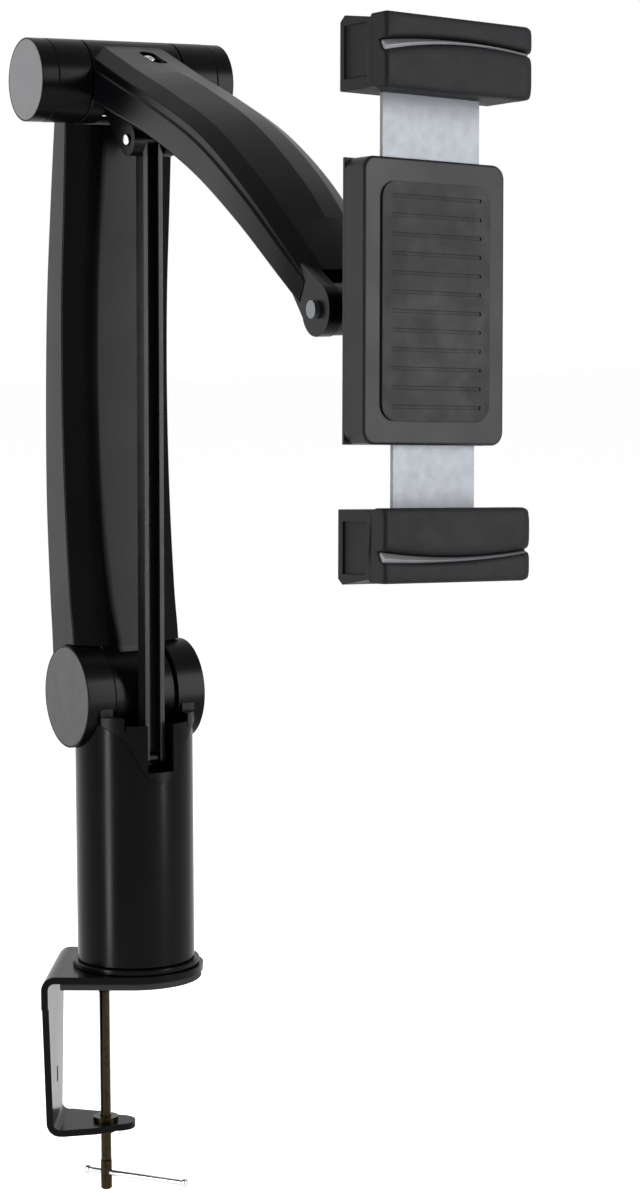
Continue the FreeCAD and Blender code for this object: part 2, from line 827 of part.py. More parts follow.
# upper arm, drawn along -Y from its hub and then dropped to its rest angle
upper_place = FreeCAD.Placement(
    V(0, driving["high_hinge_y"], high_z.number), Rot(V(1, 0, 0), driving["upper_drop"]))
upper = new_body("upper_arm_shell")
spine = [
    (0.0079, 25, 7.7, 25.2),
    (0.1775, 25, 12.6, 23.9),
    (0.3156, 25, 17.3, 23.0),
    (0.5128, 25, 20.9, 23.2),
    (0.7101, 25, 17.6, 21.4),
    (0.8757, 22.5, 9.2, 19.0),
    (0.9448, 19.5, 3.6, 17.4),
]
sections = []
for share, w, rise, tall in spine:
    sk = sketch(upper, "XZ_Plane", S["upper_span"] * share)
    top = rise + tall / 2
    low = rise - tall / 2
    polygon(sk, [(-w, low), (-w, top - 4), (9 - w, top), (w - 9, top), (w, top - 4), (w, low)])
    sections.append(sk)
loft(upper, sections)
sk = sketch(upper, "YZ_Plane")
circle(sk, 0, 0, S["high_barrel_r"])
pad(upper, sk, S["upper_half"] * 2)
hollow = [(0.0848, 25, 9.4, 24.4)] + spine[1:-1] + [(0.905, 21.2, 6.9, 18.3)]
sections = []
for share, w, rise, tall in hollow:
    sk = sketch(upper, "XZ_Plane", S["upper_span"] * share)
    top = rise + tall / 2
    low = rise - tall / 2 - 4
    polygon(sk, [
        (3 - w, low),
        (3 - w, top - 5.6),
        (10.2 - w, top - 3),
        (w - 10.2, top - 3),
        (w - 3, top - 5.6),
        (w - 3, low),
    ])
    sections.append(sk)
loft(upper, sections, "SubtractiveLoft")
cheek = S["yoke_half"] + 0.4
sk = sketch(upper, "YZ_Plane")
circle(sk, 0, 0, S["yoke_hub_r"] + 0.5)
pocket(upper, sk, cheek * 2)
sk = sketch(upper, "YZ_Plane")
polygon(sk, [(-40, -30), (9, -30), (9, 0), (0, 9.4), (-24, 9.4), (-40, 9.4)])
pocket(upper, sk, cheek * 2)
tip_y = -S["upper_span"]
for sign in (-1, 1):
    start = 12.3 if sign > 0 else -19
    sk = sketch(upper, "YZ_Plane", start)
    circle(sk, tip_y, 0, 12)
    pad(upper, sk, 6.7, "One side")
    sk = sketch(upper, "YZ_Plane", start)
    polygon(sk, [(tip_y + 26, -1), (tip_y + 20, 12.8), (tip_y, 12), (tip_y, -12)])
    pad(upper, sk, 6.7, "One side")
sk = sketch(upper, "YZ_Plane")
circle(sk, tip_y, 0, S["tilt_bolt_r"])
pocket(upper, sk, 60)
sk = sketch(upper, "YZ_Plane")
circle(sk, 0, 0, bore_r)
pocket(upper, sk, 60)
keep(upper, "upper_arm_shell", upper_place)
upper.setExpression("Placement.Rotation.Angle", "sizes.upper_drop")
upper.setExpression("Placement.Base.y", "sizes.high_hinge_y")
upper.setExpression("Placement.Base.z", high_z.text)

# tilting, turning and rolling head, each drawn about the tilt bolt
tilt_spot = upper_place.multVec(V(0, -driving["upper_span"], 0))
bolt_place = FreeCAD.Placement(tilt_spot, Rot(V(1, 0, 0), driving["upper_drop"]))
keep(rod_mid("x", 0, 0, 0, S["tilt_bolt_r"], 21.5), "tilt_bolt", None)
tilt_bolt = nodes["tilt_bolt"]
set_base(tilt_bolt, -21.5, tilt_spot.y, tilt_spot.z, ALONG["x"])
tilt_place = FreeCAD.Placement(tilt_spot, Rot(V(1, 0, 0), driving["head_tilt"]))
swivel_shift = V(0, driving["swivel_y"], 0)
turn = FreeCAD.Placement(swivel_shift, Rot(V(0, 0, 1), driving["head_turn"]))
turn_place = tilt_place.multiply(turn).multiply(FreeCAD.Placement(swivel_shift.negative(), Rot()))
roll_place = turn_place.multiply(FreeCAD.Placement(V(0, 0, 0), Rot(V(0, -1, 0), driving["head_roll"])))

tilt = join([
    rod_mid("x", 0, 0, 0, 11.5, 12),
    block(-10, 10, S["swivel_y"] + 4, 0, -8, 8),
    rod_mid("z", 0, S["swivel_y"], 0, 10.5, 11),
])
tilt = cut(tilt, [
    rod_mid("x", 0, 0, 0, S["tilt_bolt_r"] + S["running_gap"], 20),
    rod_mid("z", 0, S["swivel_y"], 0, S["swivel_pin_r"] + S["running_gap"], 20),
], "tilt_block")
keep(tilt, "tilt_block", tilt_place)

web_y = S["swivel_y"] - 11.3
post = join([
    rod("z", 0, S["swivel_y"], 11.3, 10.5, 4),
    rod("z", 0, S["swivel_y"], -15.3, 10.5, 4),
    block(-9, 9, web_y - 4, S["swivel_y"], 11.3, 15.3),
    block(-9, 9, web_y - 4, S["swivel_y"], -15.3, -11.3),
    block(-9, 9, web_y - 6, web_y, -15.3, 15.3),
    rod("y", 0, S["disc_front"], 0, 17, web_y - 2 - S["disc_front"]),
])
post = cut(post, [
    rod_mid("z", 0, S["swivel_y"], 0, S["swivel_pin_r"] + S["running_gap"], 20),
    rod("y", 0, S["disc_front"] - 2, 0, S["roll_bolt_r"] + S["running_gap"], 20),
    rod_mid("z", 0, S["swivel_y"], 0, 10.9, 11.3),
], "swivel_post")
keep(post, "swivel_post", turn_place)
keep(rod_mid("z", 0, S["swivel_y"], 0, S["swivel_pin_r"], 15.3), "swivel_pin")
nodes["swivel_pin"].setExpression("Placement.Base.x", None)
nodes["swivel_pin"].setExpression("Placement.Base.y", None)
nodes["swivel_pin"].setExpression("Placement.Base.z", None)
nodes["swivel_pin"].Placement = turn_place.multiply(nodes["swivel_pin"].Placement)
roll_bolt = join([
    rod("y", 0, -53, 0, 6.2, 3.6),
    rod("y", 0, -53, 0, S["roll_bolt_r"], 17.5),
], "roll_bolt")
keep(roll_bolt, "roll_bolt", turn_place)

# holder housing: tray open to the rear, closed by a cover
hw = S["house_half"]
ht = S["house_tall"]
front = S["house_front"]
rear = S["house_back"]
tray = new_body("tray")
sk = sketch(tray, "XZ_Plane", -rear)
polygon(sk, [(-hw, -ht), (hw, -ht), (hw, ht), (-hw, ht)])
pad(tray, sk, rear - front, "One side")
fillet(tray, 6.0, lambda e: near(abs(middle(e).x), hw.number) and near(abs(middle(e).z), ht.number))
fillet(tray, 1.5, lambda e: near(middle(e).y, driving["house_front"]))
sk = sketch(tray, "XZ_Plane", -rear)
polygon(sk, [(2.5 - hw, 2.5 - ht), (hw - 2.5, 2.5 - ht), (hw - 2.5, ht - 2.5), (2.5 - hw, ht - 2.5)])
pocket(tray, sk, rear - front - 2.5, "One side", True)
housing = cut(tray, [
    block(-26.4, 26.4, -58.5, -56.1, 50, 70),
    block(-18.4, 26.4, -56.1, -53.7, -70, -50),
], "holder_housing")
keep(housing, "holder_housing", roll_place)
lid = cut(block(-hw, hw, rear, S["cover_back"], -ht, ht),
          [rod("y", 0, -60, 0, S["roll_bolt_r"] + S["running_gap"], 40)], "holder_cover")
keep(lid, "holder_cover", roll_place)
for side, sign in (("left", -1), ("right", 1)):
    guide = rod_mid("z", sign * S["rod_x"], S["rod_y"], 0, S["rod_r"], ht - 2.5)
    for axis in "xyz":
        guide.setExpression("Placement.Base." + axis, None)
    keep(guide, "guide_rod_" + side, roll_place.multiply(guide.Placement))

bore = S["rod_r"] + S["running_gap"]
carrier = join([
    block(-26, 26, -58.3, -56.3, 5, 104),
    block(-34.8, -20, -56.3, -49.6, 12, 24),
])
carrier = cut(carrier, [rod("z", -S["rod_x"], S["rod_y"], 0, bore, 40)], "upper_jaw_carrier")
keep(carrier, "upper_jaw_carrier", roll_place)
carrier = join([
    block(-18, 26, -55.9, -53.9, -104, -5),
    block(20, 34.8, -54.5, -49.6, -24, -12),
])
carrier = cut(carrier, [rod("z", S["rod_x"], S["rod_y"], -40, bore, 40)], "lower_jaw_carrier")
keep(carrier, "lower_jaw_carrier", roll_place)


# jaw block: two bands parted by an arched groove, a framed recess in each side, a low lip in front
def jaw(label, up, plate, arch_down):
    body = new_body(label + "_blank")
    sk = sketch(body, "YZ_Plane")
    low = S["jaw_low"] * up
    top = S["jaw_top"] * up
    lip = low - 0.8 * up
    polygon(sk, [
        (S["jaw_front"], lip),
        (S["jaw_front"], top),
        (S["jaw_front"] + 10, top),
        (S["jaw_front"] + 11, top - 1.9 * up),
        (S["jaw_rear"] + -3, top + 1.1 * up),
        (S["jaw_rear"], top - 1.4 * up),
        (S["jaw_rear"], low),
        (S["tablet_front"] - 0.4, low),
        (S["tablet_front"] - 0.4, lip),
    ])
    pad(body, sk, S["jaw_half"] * 2)
    fillet(body, 2.2, lambda e: near(middle(e).y, driving["jaw_front"]))
    arch_r = 300.0
    mid_z = up * (driving["jaw_top"] - arch_down)
    ring = cut(rod("y", 0, -81, up * (-arch_r) + mid_z, arch_r + 0.8, 4),
               [rod("y", 0, -82, up * (-arch_r) + mid_z, arch_r - 0.8, 6)])
    z0 = min(up * 92, up * 114)
    z1 = max(up * 92, up * 114)
    obj = cut(body, [
        ring,
        block(-45, 1.2 - S["jaw_half"], -65.5, -50, z0, z1),
        block(S["jaw_half"] - 1.2, 45, -65.5, -50, z0, z1),
        plate,
    ], label)
    keep(obj, label, roll_place)


jaw("upper_jaw", 1, block(-26, 26, -58.3, -56.3, 80, 104), 8.7)
jaw("lower_jaw", -1, block(-18, 26, -55.9, -53.9, -104, -80), 11.0)

doc.recompute()

bad = []
for obj in doc.Objects:
    if "Invalid" in obj.State or "Error" in obj.State:
        bad.append((obj.Name, obj.Label, obj.State))
if bad:
    raise RuntimeError("objects with errors: %s" % bad)
for label, obj in nodes.items():
    shape = obj.Shape
    if shape.isNull() or not shape.isValid():
        raise RuntimeError("bad shape: %s" % label)
    if len(shape.Solids) != 1:
        raise RuntimeError("%s has %d solids" % (label, len(shape.Solids)))
    shape.exportStep("parts/%s.step" % label)
print("wrote", len(nodes), "nodes")
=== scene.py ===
import json
import math

import bmesh
import bpy
from mathutils import Matrix, Vector


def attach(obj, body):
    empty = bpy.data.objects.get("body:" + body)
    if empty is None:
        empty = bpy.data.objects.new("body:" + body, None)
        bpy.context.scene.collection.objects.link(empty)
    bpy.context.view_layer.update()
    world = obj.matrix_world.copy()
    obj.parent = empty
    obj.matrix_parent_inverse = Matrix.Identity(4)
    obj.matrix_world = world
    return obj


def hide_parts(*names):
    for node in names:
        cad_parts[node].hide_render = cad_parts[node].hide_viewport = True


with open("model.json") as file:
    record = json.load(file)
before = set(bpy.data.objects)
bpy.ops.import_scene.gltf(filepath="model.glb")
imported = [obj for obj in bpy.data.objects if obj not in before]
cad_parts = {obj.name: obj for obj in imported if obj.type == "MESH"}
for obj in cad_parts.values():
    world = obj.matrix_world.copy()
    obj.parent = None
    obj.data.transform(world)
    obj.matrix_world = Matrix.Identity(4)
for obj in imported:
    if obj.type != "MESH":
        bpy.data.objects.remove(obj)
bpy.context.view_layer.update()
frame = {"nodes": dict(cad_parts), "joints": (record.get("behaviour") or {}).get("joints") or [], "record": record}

sceneCollection = bpy.context.scene.collection
nodes = frame["nodes"]
joints = {row["name"]: row for row in frame["joints"]}


def say(stage):
    print("stage:", stage)


def clearSelection():
    if bpy.context.object and bpy.context.object.mode != "OBJECT":
        bpy.ops.object.mode_set(mode="OBJECT")
    bpy.ops.object.select_all(action="DESELECT")


clearSelection()

# camera at the height and angle of the photograph
cameraSettings = {
    "place": (-0.6502, -1.3151, 0.3529),  # metres
    "turn": 30.05,  # degrees to the right of +Y
    "pitch": 4.90,  # degrees down
    "roll": -0.285,
    "focalPixels": 2887.9,
    "axisRow": 534.8,  # row of the picture where the lens axis lies
    "frameSize": (640, 1197),
    "sensor": 36,
    "clip": (0.05, 50),
}


def makeCamera(s):
    turn = math.radians(s["turn"])
    pitch = math.radians(s["pitch"])
    roll = math.radians(s["roll"])
    ahead = Vector((math.sin(turn) * math.cos(pitch), math.cos(turn) * math.cos(pitch),
                    -math.sin(pitch)))
    levelRight = Vector((math.cos(turn), -math.sin(turn), 0))
    levelUp = levelRight.cross(ahead)
    right = levelRight * math.cos(roll) + levelUp * math.sin(roll)
    up = levelUp * math.cos(roll) - levelRight * math.sin(roll)
    data = bpy.data.cameras.new("camera")
    camera = bpy.data.objects.new("camera", data)
    sceneCollection.objects.link(camera)
    turned = Matrix((right, up, -ahead)).transposed().to_4x4()
    camera.matrix_world = Matrix.Translation(s["place"]) @ turned
    wide, tall = s["frameSize"]
    data.sensor_fit = "AUTO"
    data.sensor_width = s["sensor"]
    data.lens = s["sensor"] * s["focalPixels"] / tall
    data.shift_y = (s["axisRow"] - tall / 2) / tall
    data.clip_start, data.clip_end = s["clip"]
    bpy.context.scene.camera = camera


makeCamera(cameraSettings)
say("camera")


# colours are written as sRGB and turned to linear here
def linear(hexColour):
    parts = []
    for i in (1, 3, 5):
        c = int(hexColour[i:i + 2], 16) / 255
        parts.append(c / 12.92 if c <= 0.04045 else ((c + 0.055) / 1.055) ** 2.4)
    return (*parts, 1.0)


def addNode(tree, kind, settings=None, links=None):
    # settings go to a socket or a property of that name, links are {socket: (node, output)}
    node = tree.nodes.new(kind)
    for key, value in (settings or {}).items():
        if isinstance(key, int) or key in node.inputs:
            node.inputs[key].default_value = value
        else:
            setattr(node, key, value)
    for key, (source, output) in (links or {}).items():
        tree.links.new(source.outputs[output], node.inputs[key])
    return node


def newMaterial(name):
    material = bpy.data.materials.new(name)
    material.use_nodes = True
    material.node_tree.nodes.clear()
    return material, material.node_tree


cloudLow, cloudHigh = 0.3, 0.7  # a noise texture seldom goes below or above these


def surfaceMaterial(name, s):
    # tone and roughness move with a slow cloud, fine grain gives the bump, sizes are in mm
    material, tree = newMaterial(name)
    coords = addNode(tree, "ShaderNodeTexCoord")
    cloud = addNode(tree, "ShaderNodeTexNoise", {"Scale": 1000 / s["cloudSize"], "Detail": 4.0},
                    {"Vector": (coords, "Object")})
    # the two colours go in at sockets 6 and 7, and their mix comes out at 2
    tint = addNode(tree, "ShaderNodeMix", {
        "data_type": "RGBA", 6: linear(s["dark"]), 7: linear(s["light"]),
    }, {"Factor": (cloud, "Fac")})
    rough = addNode(tree, "ShaderNodeMapRange", {
        "From Min": cloudLow, "From Max": cloudHigh,
        "To Min": s["roughLow"], "To Max": s["roughHigh"],
    }, {"Value": (cloud, "Fac")})
    grain = addNode(tree, "ShaderNodeTexNoise", {"Scale": 1000 / s["grainSize"], "Detail": 2.0},
                    {"Vector": (coords, "Object")})
    bump = addNode(tree, "ShaderNodeBump", {
        "Strength": s["grain"], "Distance": s["grainDeep"] / 1000,
    }, {"Height": (grain, "Fac")})
    body = addNode(tree, "ShaderNodeBsdfPrincipled", {
        "Metallic": s.get("metallic", 0.0),
        "Specular IOR Level": s.get("specular", 0.5),
    }, {"Base Color": (tint, 2), "Roughness": (rough, "Result"), "Normal": (bump, "Normal")})
    addNode(tree, "ShaderNodeOutputMaterial", None, {"Surface": (body, "BSDF")})
    return material


# injection moulded ABS, black and glossy: deep black with soft-edged highlights, and as in the
# other black finishes a low specular level keeps the white surroundings out of the black
glossAbs = surfaceMaterial("glossBlackAbs", {
    "dark": "#020203", "light": "#040405", "cloudSize": 55, "roughLow": 0.27, "roughHigh": 0.33,
    "grainSize": 4, "grain": 0.04, "grainDeep": 0.1, "specular": 0.05})
# powder coated steel tube and strap: black gloss with a slight orange peel
coatedSteel = surfaceMaterial("blackPowderCoat", {
    "dark": "#020203", "light": "#040405", "cloudSize": 45, "roughLow": 0.18, "roughHigh": 0.24,
    "grainSize": 1.4, "grain": 0.06, "grainDeep": 0.2, "specular": 0.05})
# moulded ABS with a fine spark texture, for dull parts
satinAbs = surfaceMaterial("satinBlackAbs", {
    "dark": "#0c0c0e", "light": "#141416", "cloudSize": 35, "roughLow": 0.4, "roughHigh": 0.5,
    "grainSize": 0.7, "grain": 0.2, "grainDeep": 0.2, "specular": 0.12})
# thermoplastic rubber of the jaws: dark grey and dull, faintly mottled
jawRubber = surfaceMaterial("greyJawRubber", {
    "dark": "#0c0c0e", "light": "#151517", "cloudSize": 9, "roughLow": 0.5, "roughHigh": 0.62,
    "grainSize": 0.6, "grain": 0.35, "grainDeep": 0.25, "specular": 0.07})
# black nitrile rubber of the pads: near black and chalky, no clear highlight
padRubber = surfaceMaterial("blackNitrileRubber", {
    "dark": "#0b0b0c", "light": "#111112", "cloudSize": 12, "roughLow": 0.6, "roughHigh": 0.75,
    "grainSize": 0.7, "grain": 0.3, "grainDeep": 0.2, "specular": 0.2})
# anodised aluminium discs with a bead blasted face: mid grey, even and matt
satinDisc = surfaceMaterial("beadBlastedAluminium", {
    "dark": "#464648", "light": "#5a5a5c", "cloudSize": 7, "roughLow": 0.5, "roughHigh": 0.6,
    "grainSize": 0.6, "grain": 0.15, "grainDeep": 0.2, "metallic": 0.5})
# zinc plated steel of bolts and carriers: blue-grey and dull, with a faint spangle
zincSteel = surfaceMaterial("zincPlatedSteel", {
    "dark": "#525457", "light": "#616367", "cloudSize": 5, "roughLow": 0.5, "roughHigh": 0.58,
    "grainSize": 1.1, "grain": 0.06, "grainDeep": 0.2, "metallic": 1.0})
# bright chromed steel: mirror with little dark streaks
brightBar = surfaceMaterial("brightChromedSteel", {
    "dark": "#a9a9ab", "light": "#c8c8ca", "cloudSize": 11, "roughLow": 0.08, "roughHigh": 0.16,
    "grainSize": 1.1, "grain": 0.03, "grainDeep": 0.1, "metallic": 1.0})
# yellow passivated steel: dark golden brown, darker where the film is thick
yellowScrew = surfaceMaterial("yellowPassivatedSteel", {
    "dark": "#110e0a", "light": "#342c1c", "cloudSize": 3, "roughLow": 0.24, "roughHigh": 0.38,
    "grainSize": 1.1, "grain": 0.1, "grainDeep": 0.2, "metallic": 1.0})
# pressed steel of the link, satin black paint that catches light on its folded edges
linkSteel = surfaceMaterial("satinBlackPaintedSteel", {
    "dark": "#070708", "light": "#0c0c0d", "cloudSize": 16, "roughLow": 0.24, "roughHigh": 0.32,
    "grainSize": 1.1, "grain": 0.06, "grainDeep": 0.2, "specular": 0.1})
# the same discs on the lower hinge, a darker copy of their grey as painted shade
shadedDiscCopy = surfaceMaterial("aluminiumDiscPaintedShade", {
    "dark": "#1c1c1e", "light": "#2b2b2d", "cloudSize": 7, "roughLow": 0.45, "roughHigh": 0.55,
    "grainSize": 0.6, "grain": 0.15, "grainDeep": 0.2, "metallic": 0.5})
# painted highlight in the grooves of the jaws: a satin grey strip that stands for the light on the groove's lower
# lip, a light line in the dark rubber
paintedHighlightGrey = surfaceMaterial("paintedHighlightStrip", {
    "dark": "#4c4c4e", "light": "#5e5e60", "cloudSize": 6, "roughLow": 0.3, "roughHigh": 0.4,
    "grainSize": 0.8, "grain": 0.06, "grainDeep": 0.2})
# steel of the link's pins, coloured near black as painted shade, so that they don't show inside their slots
pinPaintedShade = surfaceMaterial("pinSteelPaintedShade", {
    "dark": "#0c0c0d", "light": "#161617", "cloudSize": 5, "roughLow": 0.35, "roughHigh": 0.45,
    "grainSize": 1.1, "grain": 0.06, "grainDeep": 0.2, "metallic": 1.0})

slotMaterials = {
    "black_paint": coatedSteel,
    "rubber": padRubber,
    "jaw_rubber": jawRubber,
    "brass": yellowScrew,
    "bright_steel": brightBar,
    "silver_disc": satinDisc,
    "zinc_steel": zincSteel,
    "black_gloss": glossAbs,
    "link_steel": linkSteel,
    "black_matt": satinAbs,
}
slotOf = {row["node"]: row["material_slot"] for row in frame["record"]["subparts"]}
bodyOf = {}
for body, members in frame["record"]["behaviour"]["bodies"].items():
    for member in members:
        bodyOf[member] = body


def dress(obj, material):
    obj.data.materials.clear()
    obj.data.materials.append(material)


for name, obj in nodes.items():
    dress(obj, slotMaterials[slotOf[name]])
# the lower hinge's caps take the darker copy of the disc finish: painted shade
for name in ("lower_cap_left", "lower_cap_right"):
    dress(nodes[name], shadedDiscCopy)
# the lower pin is coloured near black as painted shade where it sits in the column head
dress(nodes["link_pin_lower"], pinPaintedShade)
say("materials")


# pale floor under the clamp and soft light from both sides, in metres
stageSettings = {
    "floorZ": -0.118,
    "floorSize": 24,
    "floorColour": "#f0f0f0",
    "floorGlow": 0.55,
    "worldLight": 0.5,
    "lamps": {
        # name: place, aimed at, width, height, power, seen in gloss or only softening the shade
        "leftStrip": ((-0.61, -0.125, 0.21), (0, 0, 0.21), 0.1, 0.66, 6.0, True),
        "rightStrip": ((0.73, -1.18, 0.5), (0, 0, 0.4), 0.16, 1.2, 28.0, True),
        "backSheet": ((-0.62, 1.25, 0.5), (0, 0, 0.3), 0.7, 1.1, 5.4, True),
        "overhead": ((-0.5, -0.7, 1.7), (0, -0.1, 0.3), 0.8, 0.8, 10.0, False),
    },
}
white = (1, 1, 1, 1)


def seenAsBackdrop(tree):
    # 1 for rays that see a background: from the camera, off gloss, through glass
    path = addNode(tree, "ShaderNodeLightPath")
    both = addNode(tree, "ShaderNodeMath", {"operation": "MAXIMUM"},
                   {0: (path, "Is Camera Ray"), 1: (path, "Is Glossy Ray")})
    return addNode(tree, "ShaderNodeMath", {"operation": "MAXIMUM"},
                   {0: (both, 0), 1: (path, "Is Transmission Ray")})


def makeFloor(s):
    bpy.ops.mesh.primitive_plane_add(size=s["floorSize"], location=(0, 0, s["floorZ"]))
    floor = bpy.context.object
    floor.name = "floor"
    material, tree = newMaterial("paleFloor")
    seen = seenAsBackdrop(tree)
    matt = addNode(tree, "ShaderNodeBsdfDiffuse", {"Color": linear(s["floorColour"])})
    strength = addNode(tree, "ShaderNodeMath", {"operation": "MULTIPLY", 1: s["floorGlow"]},
                       {0: (seen, 0)})
    glow = addNode(tree, "ShaderNodeEmission", {"Color": white}, {"Strength": (strength, 0)})
    both = addNode(tree, "ShaderNodeAddShader", None, {0: (matt, "BSDF"), 1: (glow, "Emission")})
    addNode(tree, "ShaderNodeOutputMaterial", None, {"Surface": (both, 0)})
    dress(floor, material)


def makeWorld(s):
    world = bpy.data.worlds.new("world")
    world.use_nodes = True
    bpy.context.scene.world = world
    tree = world.node_tree
    tree.nodes.clear()
    seen = seenAsBackdrop(tree)
    soft = addNode(tree, "ShaderNodeBackground", {"Color": white, "Strength": s["worldLight"]})
    bright = addNode(tree, "ShaderNodeBackground", {"Color": white, "Strength": 1.0})
    pick = addNode(tree, "ShaderNodeMixShader", None, {
        0: (seen, 0), 1: (soft, "Background"), 2: (bright, "Background")})
    addNode(tree, "ShaderNodeOutputWorld", None, {"Surface": (pick, "Shader")})
    bpy.context.scene.view_settings.view_transform = "Standard"


def makeLamp(name, place, aim, wide, tall, power, inGloss):
    data = bpy.data.lights.new(name, "AREA")
    data.shape = "RECTANGLE"
    data.size = wide
    data.size_y = tall
    data.energy = power
    lamp = bpy.data.objects.new(name, data)
    sceneCollection.objects.link(lamp)
    lamp.location = place
    lamp.visible_camera = False
    lamp.visible_glossy = inGloss
    lamp.rotation_euler = (Vector(aim) - Vector(place)).to_track_quat("-Z", "Y").to_euler()


makeFloor(stageSettings)
makeWorld(stageSettings)
for name, row in stageSettings["lamps"].items():
    makeLamp(name, *row)
clearSelection()
say("stage")


# modelling helpers: here and in the dictionaries below lengths are in mm, angles in degrees
mergeGap = 0.00002  # metres, corners closer than this are one
sameLine = 0.0005  # metres, corners that differ less than this along an axis share a line


def mm(*lengths):
    return Vector([length / 1000 for length in lengths])


def makeActive(obj):
    clearSelection()
    obj.select_set(True)
    bpy.context.view_layer.objects.active = obj


def openMesh(obj):
    makeActive(obj)
    bpy.ops.object.mode_set(mode="EDIT")
    bpy.ops.mesh.select_all(action="SELECT")


def closeMesh():
    bpy.ops.object.mode_set(mode="OBJECT")


def applyPlace():
    bpy.ops.object.transform_apply(location=True, rotation=True, scale=True)


def pickCorners(obj, test):
    # in edit mode: only the corners that pass stay selected
    bpy.ops.mesh.select_mode(type="VERT")
    bpy.ops.mesh.select_all(action="DESELECT")
    mesh = bmesh.from_edit_mesh(obj.data)
    for corner in mesh.verts:
        if test(corner.co):
            corner.select_set(True)
    mesh.select_flush_mode()


def pickEdges(obj, test):
    # in edit mode: only the edges whose two ends pass stay selected
    bpy.ops.mesh.select_mode(type="EDGE")
    bpy.ops.mesh.select_all(action="DESELECT")
    mesh = bmesh.from_edit_mesh(obj.data)
    for edge in mesh.edges:
        if test(edge.verts[0].co, edge.verts[1].co):
            edge.select_set(True)
    mesh.select_flush_mode()


def shiftCorners(mesh, corners, targets):
    # corners that move alike are moved together
    groups = {}
    for corner, target in zip(corners, targets):
        step = tuple(round(v, 7) for v in (Vector(target) - corner.co))
        groups.setdefault(step, []).append(corner)
    for step, members in groups.items():
        bpy.ops.mesh.select_all(action="DESELECT")
        for corner in members:
            corner.select_set(True)
        mesh.select_flush_mode()
        bpy.ops.transform.translate(value=step)


def nearest(corners, spots):
    return [min(corners, key=lambda v: (v.co - spot).length) for spot in spots]


def loftRings(name, rings):
    # a flat face shaped to the first ring, then drawn out from ring to ring and closed
    clearSelection()
    bpy.ops.mesh.primitive_circle_add(vertices=len(rings[0]), radius=0.01, fill_type="NGON")
    obj = bpy.context.object
    obj.name = name
    bpy.ops.object.mode_set(mode="EDIT")
    bpy.ops.mesh.select_mode(type="VERT")
    mesh = bmesh.from_edit_mesh(obj.data)
    shiftCorners(mesh, list(mesh.verts), rings[0])
    for before, ring in zip(rings, rings[1:]):
        bpy.ops.mesh.select_all(action="DESELECT")
        mesh = bmesh.from_edit_mesh(obj.data)
        for corner in nearest(mesh.verts, before):
            corner.select_set(True)
        mesh.select_flush_mode()
        bpy.ops.mesh.extrude_region_move()
        mesh = bmesh.from_edit_mesh(obj.data)
        fresh = [v for v in mesh.verts if v.select]
        shiftCorners(mesh, nearest(fresh, before), ring)
    bpy.ops.mesh.select_all(action="DESELECT")
    bpy.ops.mesh.select_non_manifold()
    if any(v.select for v in bmesh.from_edit_mesh(obj.data).verts):
        bpy.ops.mesh.edge_face_add()
    bpy.ops.mesh.select_all(action="SELECT")
    bpy.ops.mesh.normals_make_consistent(inside=False)
    closeMesh()
    return obj


def barX(name, outline, left, right):
    # a bar along X with the given outline in Y and Z
    return loftRings(name, [[mm(x, y, z) for y, z in outline] for x in (left, right)])


def roundBar(name, middle, radius, long, turn, corners):
    clearSelection()
    bpy.ops.mesh.primitive_cylinder_add(
        vertices=corners, radius=radius / 1000, depth=long / 1000, location=mm(*middle),
        rotation=turn)
    obj = bpy.context.object
    obj.name = name
    applyPlace()
    return obj


def rodX(name, y, z, radius, left, right, corners=72):
    middle = ((left + right) / 2, y, z)
    return roundBar(name, middle, radius, right - left, (0, math.pi / 2, 0), corners)


def rodZ(name, x, y, radius, low, high, corners):
    return roundBar(name, (x, y, (low + high) / 2), radius, high - low, (0, 0, 0), corners)


def combine(obj, tool, how="DIFFERENCE"):
    cut = obj.modifiers.new(how, "BOOLEAN")
    cut.operation = how
    cut.solver = "EXACT"
    cut.object = tool
    makeActive(obj)
    bpy.ops.object.modifier_apply(modifier=cut.name)
    bpy.data.objects.remove(tool, do_unlink=True)


def roundEdges(obj, width, segments=3, angle=30):
    bevel = obj.modifiers.new("edges", "BEVEL")
    bevel.width = width / 1000
    bevel.segments = segments
    bevel.limit_method = "ANGLE"
    bevel.angle_limit = math.radians(angle)
    makeActive(obj)
    bpy.ops.object.modifier_apply(modifier=bevel.name)


def joinShells(obj, others):
    makeActive(obj)
    for other in others:
        other.select_set(True)
    bpy.ops.object.join()


def putInPlace(obj, matrix):
    makeActive(obj)
    obj.matrix_world = matrix
    applyPlace()


def finishExtra(obj, body, material, smooth=32):
    # smooth shading, a finish and a body to ride on
    makeActive(obj)
    bpy.ops.object.shade_smooth_by_angle(angle=math.radians(smooth))
    even = obj.modifiers.new("even", "WEIGHTED_NORMAL")  # flats stay flat beside round edges
    even.keep_sharp = True
    bpy.ops.object.modifier_apply(modifier=even.name)
    dress(obj, material)
    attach(obj, body)
    clearSelection()


def finishPiece(obj, node, smooth=32):
    # the same for a piece that stands for a node of the frame
    finishExtra(obj, bodyOf[node], slotMaterials[slotOf[node]], smooth)
    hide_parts(node)


def curveAt(rows, share):
    # a smooth line through table rows of (share, value, value, ...)
    last = len(rows) - 1
    i = 0
    while i < last - 1 and share > rows[i + 1][0]:
        i += 1
    width = rows[i + 1][0] - rows[i][0]
    t = (share - rows[i][0]) / width

    def slope(j, k):
        a = rows[max(j - 1, 0)]
        b = rows[min(j + 1, last)]
        return (b[k] - a[k]) / (b[0] - a[0]) * width

    values = []
    for k in range(1, len(rows[0])):
        p, q = rows[i][k], rows[i + 1][k]
        values.append((2 * t ** 3 - 3 * t ** 2 + 1) * p + (t ** 3 - 2 * t ** 2 + t) * slope(i, k)
                      + (3 * t ** 2 - 2 * t ** 3) * q + (t ** 3 - t ** 2) * slope(i + 1, k))
    return values


def steps(first, last, count):
    return [first + (last - first) * i / (count - 1) for i in range(count)]


